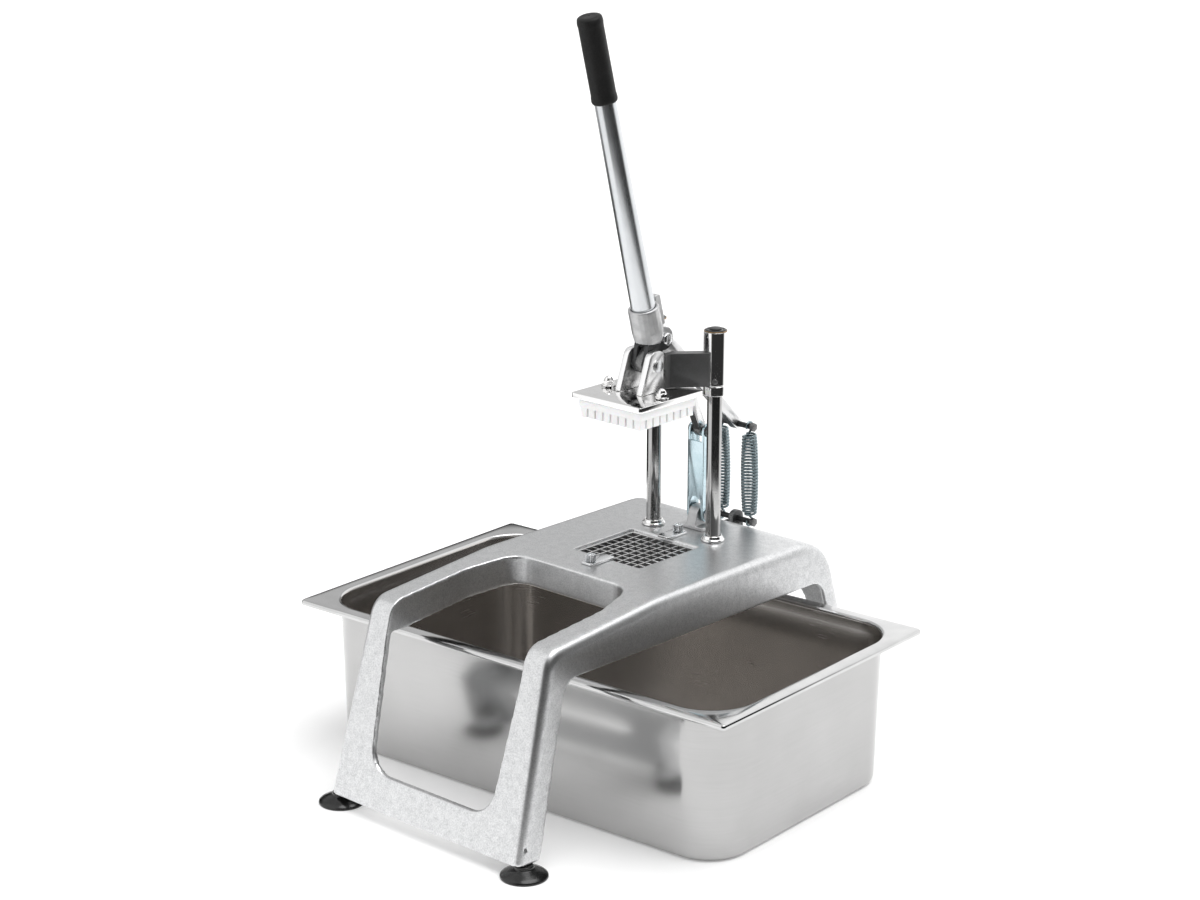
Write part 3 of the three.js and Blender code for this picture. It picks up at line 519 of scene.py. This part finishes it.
for side in SIDES:
    node = f"pusher_stud_{side}"
    low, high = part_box(node)
    plate_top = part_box("pusher_plate")[1].z
    middle = centre(node)
    foot = Vector((middle.x, middle.y, low.z))
    washer, start, top = radius(node) / MM, (plate_top - low.z) / MM + 0.3, (high.z - low.z) / MM
    stud = softened([
        (0, 0), (3, 0), (3, start), (washer, start), (washer, start + 1.2), (5.0, start + 1.2),
        (5.0, start + 5.2), (4.5, start + 5.4), (4.3, start + 6.2), (3.4, start + 8.2), (1.7, top - 0.2),
        (0, top),
    ], 0.4)
    piece = stands_for(lathe(node + "_look", stud, foot, chrome), node)
    hexagon = softened([(4.4, start + 1.1), (5.7, start + 1.5), (5.7, start + 4.6), (4.4, start + 5.3)], 0.3)
    nut = lathe(f"pusher_nut_{side}", hexagon, foot, chrome, segments=6, sharp=20)
    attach(nut, "carriage")


# ------------------------------------------------------------------ lever

crank = machined("crank_plate", dark_steel_and_painted_shade, 0.5)
# The plate's flat sides take the bright steel and its cut edges the dark steel: in part blackened cut edges, in
# part painted shade on the edge faces.
crank.data.materials.append(bright_steel)
for face in crank.data.polygons:
    face.material_index = int(abs(face.normal.x) > 0.7)
machined("crank_bolt", zinc, 0.5)

lever_axis = (mean("grip") - mean("handle_tube")).normalized()
lever_foot = mean("handle_tube")


def along_lever(node):
    """A lever node's span along the lever's axis from lever_foot, and its rings, in millimetres."""
    offsets = [p - lever_foot for p in points(node)]
    heights = [o.dot(lever_axis) / MM for o in offsets]
    reaches = [(o - lever_axis * o.dot(lever_axis)).length / MM for o in offsets]
    return heights, reaches


heights, reaches = along_lever("handle_tube")
tube_start, tube_end = min(heights), max(heights)
foot_radius = max(r for h, r in zip(heights, reaches) if h < tube_start + 1)
top_radius = max(r for h, r in zip(heights, reaches) if h > tube_end - 1)
grip_heights, grip_reaches = along_lever("grip")
grip_start, grip_end, grip_radius = min(grip_heights), max(grip_heights), max(grip_reaches)
wall = 2.2
tube_profile = [
    (foot_radius - wall, tube_start), (foot_radius, tube_start), (top_radius, grip_start),
    (top_radius, tube_end), (top_radius - wall, tube_end), (top_radius - wall, grip_start),
]
stands_for(lathe("handle_tube_look", softened(tube_profile, 0.8, closed=True), lever_foot, tube_zinc,
                 axis=lever_axis, tube=True), "handle_tube")

waist = grip_radius - 0.5
bore = top_radius + 0.3
grip_profile = softened([
    (bore, grip_start), (grip_radius - 0.8, grip_start), (grip_radius, grip_start + 1.5),
    (grip_radius, grip_start + 5), (waist, grip_start + 8), (waist, grip_end - 10),
    (grip_radius, grip_end - 6), (grip_radius - 0.8, grip_end - 1.2), (grip_radius - 4, grip_end),
    (0, grip_end), (0, grip_end - 5), (bore, grip_end - 5),
], 1.4, closed=True)
stands_for(lathe("grip_look", grip_profile, lever_foot, grip_rubber, axis=lever_axis, tube=True), "grip")


# ------------------------------------------------------------------ link, bracket and springs

machined("link_channel", blue_zinc, 0.5)
machined("link_pin_lower", zinc, 0.4)
machined("spring_bracket", dark_steel_and_painted_shade, 0.6)
for side in SIDES:
    machined(f"link_stub_{side}", dark_steel_and_painted_shade, 0.4)
for node in ("spring_pin_lower", "spring_pin_upper"):
    machined(node, dark_steel_and_painted_shade, 0.4)

COIL_RADIUS, WIRE = 8.0 * MM, 1.25 * MM
COIL_PITCH = 3.3 * MM
SPRING_PIN_RADIUS = 2.9 * MM


def spring_path(x, foot, top, pin):
    """A loop round the lower pin, a barrel coil, and a loop round the upper pin."""
    def loop(centre_point, first, last, steps=26):
        reach = pin + WIRE + 0.25 * MM
        return [
            Vector((x, centre_point.y + reach * math.cos(a), centre_point.z + reach * math.sin(a)))
            for a in (math.radians(first + (last - first) * k / steps) for k in range(steps + 1))
        ]

    axis = (top - foot).normalized()
    across, side = ALONG_X, axis.cross(ALONG_X)
    start, end = foot + axis * (pin + 3.4 * MM), top - axis * (pin + 3.4 * MM)
    start.x = end.x = x
    length = (end - start).length
    turns = round(length / COIL_PITCH)
    coil = []
    for k in range(turns * 26 + 1):
        t = k / (turns * 26)
        swell = min(t, 1 - t) * turns
        ends = min(swell / 1.0, 1.0)
        barrel = 0.72 + 0.28 * math.sin(math.pi * min(max(t, 0), 1)) ** 0.55
        reach = COIL_RADIUS * barrel * (ends * ends * (3 - 2 * ends))
        angle = 2 * math.pi * turns * t
        coil.append(start + axis * (length * t) + (across * math.cos(angle) + side * math.sin(angle)) * reach)
    return loop(foot, -200, 60) + coil + loop(top, -60, 200)


spring_foot, spring_top = centre("spring_pin_lower"), centre("spring_pin_upper")
for side in SIDES:
    x = centre(f"spring_{side}").x
    path = spring_path(x, spring_foot, spring_top, SPRING_PIN_RADIUS)
    spring = sweep(f"spring_wire_{side}", path, WIRE, spring_steel)
    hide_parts(f"spring_{side}", f"spring_hook_{side}")
    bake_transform(spring)


# ------------------------------------------------------------------ pan

PAN_WALL = 1.2
PAN_NECK = 14.2  # from the rim's edge in to the wall
PAN_STEP = 1.3
PAN_TAPER = 3.4
PAN_BOTTOM, PAN_WALL_CORNER, PAN_RIM_CORNER = 8.0, 48.0, 3.5

pan_along = Vector(joint("pan_slide")["axis"])
pan_across = UP.cross(pan_along)
pan_points = points("gastronorm_pan")
pan_low, pan_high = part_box("gastronorm_pan")
pan_middle = (pan_low + pan_high) / 2
pan_half = [max(abs((p - pan_middle).dot(d)) for p in pan_points) / MM for d in (pan_along, pan_across)]
pan_depth = (pan_high.z - pan_low.z) / MM


def pan_ring(inset, height, corner, steps=14):
    """A round-cornered ring, inset from the rim's edge, in millimetres."""
    half_x, half_y = pan_half[0] - inset, pan_half[1] - inset
    foot = Vector((pan_middle.x, pan_middle.y, pan_low.z))
    ring = []
    for sx, sy, first in ((1, 1, 0), (-1, 1, 1), (-1, -1, 2), (1, -1, 3)):
        for k in range(steps + 1):
            a = (first + k / steps) * math.pi / 2
            u = sx * (half_x - corner) + corner * math.cos(a)
            v = sy * (half_y - corner) + corner * math.sin(a)
            ring.append(foot + (pan_along * u + pan_across * v + UP * height) * MM)
    return ring


def pan_section():
    """The pan's section from the middle of the floor outside, over the rim, to the floor inside."""
    wall_corner, rim_corner = PAN_WALL_CORNER, PAN_RIM_CORNER
    body, foot_inset = PAN_NECK + PAN_STEP, PAN_NECK + PAN_STEP + PAN_TAPER
    bottom = PAN_BOTTOM

    def corner(inset):
        return max(wall_corner - (inset - PAN_NECK), 8.0)

    def fillet(offset, steps=8):
        r = bottom - offset
        return [(foot_inset + offset + r * (1 - math.cos(a)), bottom - r * math.sin(a))
                for a in (math.pi / 2 * k / steps for k in range(steps + 1))]

    outside = [(i, h) for i, h in reversed(fillet(0))]
    outside += [(body + 0.4, pan_depth - 40), (body, pan_depth - 17), (body - 0.5, pan_depth - 15.5),
                (PAN_NECK + 0.6, pan_depth - 12), (PAN_NECK, pan_depth - 10.5), (PAN_NECK, pan_depth - 5),
                (PAN_NECK - 0.6, pan_depth - 3)]
    inside = [(PAN_NECK + PAN_WALL, pan_depth - 4), (PAN_NECK + PAN_WALL, pan_depth - 11),
              (PAN_NECK + PAN_WALL + 0.6, pan_depth - 12.5), (body + PAN_WALL - 0.5, pan_depth - 16),
              (body + PAN_WALL, pan_depth - 17.5), (body + PAN_WALL + 0.4, pan_depth - 40)]
    inside += fillet(PAN_WALL)
    rim = [
        (PAN_NECK - 2, pan_depth - PAN_WALL, wall_corner + 2), (3.2, pan_depth - PAN_WALL, rim_corner - 2),
        (PAN_WALL + 0.5, pan_depth - 2.2, rim_corner - 1), (PAN_WALL, pan_depth - 5, rim_corner - 1),
        (0.5, pan_depth - 5.3, rim_corner), (0, pan_depth - 4.6, rim_corner),
        (0, pan_depth - 2.4, rim_corner), (0.3, pan_depth - 1.2, rim_corner),
        (1.0, pan_depth - 0.35, rim_corner),
        (2.2, pan_depth, rim_corner + 1), (PAN_NECK - 3, pan_depth, wall_corner + 3),
        (PAN_NECK - 0.8, pan_depth - 0.4, wall_corner + 1), (PAN_NECK + 0.6, pan_depth - 1.6, wall_corner),
    ]
    ringed = [(i, h, corner(i)) for i, h in outside]
    return ringed, rim, [(i, h, corner(i)) for i, h in inside]


outside, rim, inside = pan_section()
pan = skin("gastronorm_pan_look", [pan_ring(*p) for p in outside + rim + inside], pan_outside, sharp=50)
pan.data.materials.append(pan_inside_painted_light)
pan.data.materials.append(pan_rim)
per_ring = len(pan_ring(0, 0, 9))
rim_first, rim_last = len(outside) + 3, len(outside) + len(rim) - 1
# The inside faces take the lighter, warmer copy of the steel: painted light.
for face in pan.data.polygons:
    row = min(face.vertices) // per_ring
    if row >= rim_last or len(face.vertices) > 4 and face.center.z > pan_low.z + PAN_WALL * MM / 2:
        face.material_index = 1
    elif row >= rim_first:
        face.material_index = 2
stands_for(pan, "gastronorm_pan")


# ------------------------------------------------------------------ studio


def glowing(name, colour, glow):
    """A matte surface that also gives off a little light of its own colour."""
    f = Finish(name, Metallic=0.0, Roughness=0.8)
    f.shader.inputs["Base Color"].default_value = colour
    f.shader.inputs["Emission Color"].default_value = colour
    f.shader.inputs["Emission Strength"].default_value = glow
    return f.material


FLOOR_RADIUS, WALL_RADIUS, WALL_HEIGHT = 14.0, 20.0, 12.0
FLOOR_GLOW = 0.16
floor_profile = [
    (0.001, 0), (FLOOR_RADIUS, 0), (WALL_RADIUS - 1.5, 1.2), (WALL_RADIUS, 4), (WALL_RADIUS, WALL_HEIGHT),
]
floor = skin("floor", [
    [Vector((r * math.cos(a), r * math.sin(a), h)) for a in (2 * math.pi * k / 96 for k in range(96))]
    for r, h in floor_profile
], glowing("floor", grey(0.86), FLOOR_GLOW), caps=False, sharp=180)

TENT_RADIUS, TENT_HEIGHT = 0.85, 1.6
tent = skin("light_tent", [
    [Vector((TENT_RADIUS * math.cos(a), TENT_RADIUS * math.sin(a), h))
     for a in (2 * math.pi * k / 128 for k in range(128))]
    for h in (0.002, TENT_HEIGHT)
], None, caps=False, sharp=180)
tent.location = (centre("column_left") + centre("column_right")) / 2
tent.location.z = 0
tent.visible_camera = tent.visible_diffuse = tent.visible_shadow = tent.visible_transmission = False


# Each bank of light is an azimuth, a half width and a soft edge in degrees, and a strength.
FRONT_LEFT_BANK = (-118, 30, 8, 1.15)
RIGHT_REAR_BANK = (84, 46, 10, 1.25)
BACK_LEFT_BANK = (150, 62, 12, 0.66)
BACK_LEFT_HEIGHT = (0.22, 0.40)  # the back left is dark below, and bright above
OVERHEAD_HEIGHT, OVERHEAD_STRENGTH = (0.75, 1.3), 0.9
DARKEST = 0.03


def tent_material():
    """Glow by direction: a front-left and a right-rear bank, a back-left one above the deck, and a top."""
    f = Finish("tent_banks")
    flat = f.node("ShaderNodeVectorMath", {0: f.place, 1: (1, 1, 0)}, operation="MULTIPLY").outputs[0]
    heading = f.node("ShaderNodeVectorMath", {0: flat}, operation="NORMALIZE").outputs[0]
    height = f.node("ShaderNodeSeparateXYZ", {0: f.place}).outputs["Z"]

    def fade(value, start, end, strength):
        inputs = {"Value": value, "From Min": start, "From Max": end, "To Max": strength}
        return f.node("ShaderNodeMapRange", inputs, interpolation_type="SMOOTHSTEP").outputs[0]

    def bank(azimuth, half, soft, strength):
        a = math.radians(azimuth)
        towards = (math.cos(a), math.sin(a), 0)
        lean = f.node("ShaderNodeVectorMath", {0: heading, 1: towards}, operation="DOT_PRODUCT")
        outer, inner = math.cos(math.radians(half + soft)), math.cos(math.radians(half - soft))
        return fade(lean.outputs["Value"], outer, inner, strength)

    sides = f.maths("ADD", bank(*FRONT_LEFT_BANK), bank(*RIGHT_REAR_BANK))
    behind = f.maths("MULTIPLY", fade(height, *BACK_LEFT_HEIGHT, 1.0), bank(*BACK_LEFT_BANK))
    over = f.maths("MAXIMUM", fade(height, *OVERHEAD_HEIGHT, OVERHEAD_STRENGTH), behind)
    glow = f.maths("MAXIMUM", f.maths("MAXIMUM", sides, over), DARKEST)
    light = f.node("ShaderNodeEmission", {"Color": (1, 1, 1, 1), "Strength": glow})
    out = f.tree.nodes["Material Output"]
    f.tree.links.new(light.outputs[0], out.inputs["Surface"])
    f.tree.nodes.remove(f.shader)
    return f.material


tent.data.materials[0] = tent_material()

world = bpy.data.worlds.new("studio")
world.use_nodes = True
world.node_tree.nodes["Background"].inputs["Color"].default_value = (1.0, 1.0, 1.0, 1)
world.node_tree.nodes["Background"].inputs["Strength"].default_value = 0.75
bpy.context.scene.world = world


def sun(name, azimuth, elevation, strength, angle):
    lamp = bpy.data.lights.new(name, "SUN")
    lamp.energy = strength
    lamp.angle = math.radians(angle)
    made = bpy.data.objects.new(name, lamp)
    bpy.context.scene.collection.objects.link(made)
    a, e = math.radians(azimuth), math.radians(elevation)
    towards = Vector((math.cos(a) * math.cos(e), math.sin(a) * math.cos(e), math.sin(e)))
    made.rotation_euler = towards.to_track_quat("Z", "Y").to_euler()
    return made


sun("key", azimuth=20, elevation=70, strength=1.9, angle=50)

# ------------------------------------------------------------------ camera

TARGET = Vector((-0.4009, 0.4376, 0.150))
DISTANCE, AZIMUTH, ELEVATION, ROLL = 3.301, 42.545, 16.509, 0.143
a, e, roll = (math.radians(v) for v in (AZIMUTH, ELEVATION, ROLL))
back = Vector((math.sin(a) * math.cos(e), -math.cos(a) * math.cos(e), math.sin(e)))
level = Vector((math.cos(a), math.sin(a), 0))
upward = back.cross(level)
right = level * math.cos(roll) + upward * math.sin(roll)
over = upward * math.cos(roll) - level * math.sin(roll)
lens = bpy.data.cameras.new("camera")
lens.sensor_width = 36
lens.lens = 82.84
lens.clip_end = 200
camera = bpy.data.objects.new("camera", lens)
bpy.context.scene.collection.objects.link(camera)
facing = Matrix((right, over, back)).transposed().to_4x4()
camera.matrix_world = Matrix.Translation(TARGET + back * DISTANCE) @ facing
bpy.context.scene.camera = camera
bpy.context.scene.view_settings.view_transform = "Standard"
